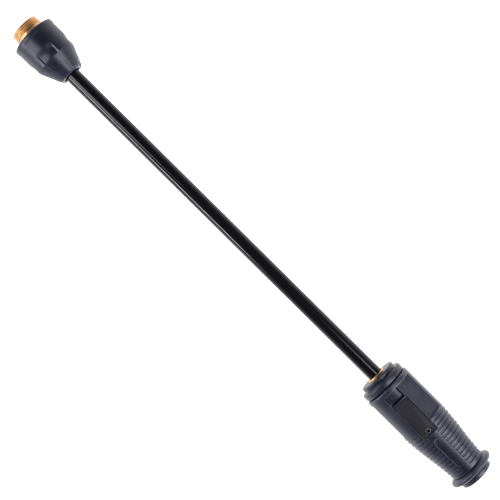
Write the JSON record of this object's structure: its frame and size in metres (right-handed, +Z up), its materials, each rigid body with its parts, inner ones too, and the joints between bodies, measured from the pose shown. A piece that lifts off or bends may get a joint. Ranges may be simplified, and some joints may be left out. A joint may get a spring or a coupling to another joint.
{
  "type": "pressure washer spray lance",
  "caption": "Pressure washer spray lance: screw coupling in a grip collar, straight coated tube and an adjustable nozzle head that slides for pressure and turns for jet shape.",
  "frame": {"origin": "on the floor under the middle of the lance, centre of the bottom of its bounding box", "axes": "+X along the lance from the coupling to the nozzle, +Z up through the label plate of the head"},
  "size_m": [0.4454, 0.0358, 0.0358],
  "materials": {
    "brass": "bright turned brass",
    "coated_steel": "gloss black coating",
    "collar_plastic": "satin moulded black plastic",
    "head_plastic": "satin moulded black plastic, fine grain",
    "label_plastic": "smooth satin black plastic",
    "guide_plastic": "plain moulded plastic",
    "slip_plastic": "white slip plastic",
    "seal": "dull black rubber",
    "steel": "turned stainless steel"
  },
  "bodies": {
    "lance": {"tube_nipple": "brass", "nipple_seal": "seal", "swivel_washer": "slip_plastic", "lance_tube": "coated_steel", "head_stem": "brass", "stem_seal_rear": "seal", "stem_seal_front": "seal", "stem_clip": "steel", "stem_nut": "brass", "rear_collar": "head_plastic"},
    "coupling": {"coupling_nut": "brass", "coupling_collar": "collar_plastic"},
    "carrier": {"carrier_bush": "brass", "nozzle_carrier": "guide_plastic", "jet_seal": "seal", "jet_insert": "steel", "upper_jaw_pin": "steel", "lower_jaw_pin": "steel"},
    "upper_jaw": {"upper_fan_jaw": "brass"},
    "lower_jaw": {"lower_fan_jaw": "brass"},
    "sleeve": {"grip_sleeve": "head_plastic", "label_plate": "label_plastic", "plate_screw": "steel", "sleeve_clip": "steel", "cam_ring": "guide_plastic", "hand_flange": "head_plastic", "nose_ring": "head_plastic"},
    "tongue": {"snap_tongue": "head_plastic"}
  },
  "joints": [
    {"name": "coupling_spin", "type": "hinge", "parent": "lance", "child": "coupling", "pos_m": [-0.22265, 0, 0.0179], "axis": [1, 0, 0], "continuous": true},
    {"name": "head_slide", "type": "slide", "parent": "lance", "child": "carrier", "axis": [1, 0, 0], "range_m": [0, 0.008]},
    {"name": "sleeve_twist", "type": "hinge", "parent": "carrier", "child": "sleeve", "pos_m": [0.12335, 0, 0.0179], "axis": [1, 0, 0], "range_deg": [0, 90]},
    {"name": "upper_jaw_swing", "type": "hinge", "parent": "carrier", "child": "upper_jaw", "pos_m": [0.18975, 0, 0.0209], "axis": [0, 1, 0], "range_deg": [0, 3]},
    {"name": "lower_jaw_swing", "type": "hinge", "parent": "carrier", "child": "lower_jaw", "pos_m": [0.18975, 0, 0.0149], "axis": [0, -1, 0], "range_deg": [0, 3]},
    {"name": "tongue_flex", "type": "hinge", "parent": "sleeve", "child": "tongue", "pos_m": [0.13675, 0, 0.0348], "axis": [0, -1, 0], "range_deg": [0, 10], "stiffness_Nm_per_rad": 0.4}
  ],
  "couplings": [
    {"joint": "upper_jaw_swing", "follows": "sleeve_twist", "ratio": 0.033333},
    {"joint": "lower_jaw_swing", "follows": "sleeve_twist", "ratio": 0.033333}
  ]
}
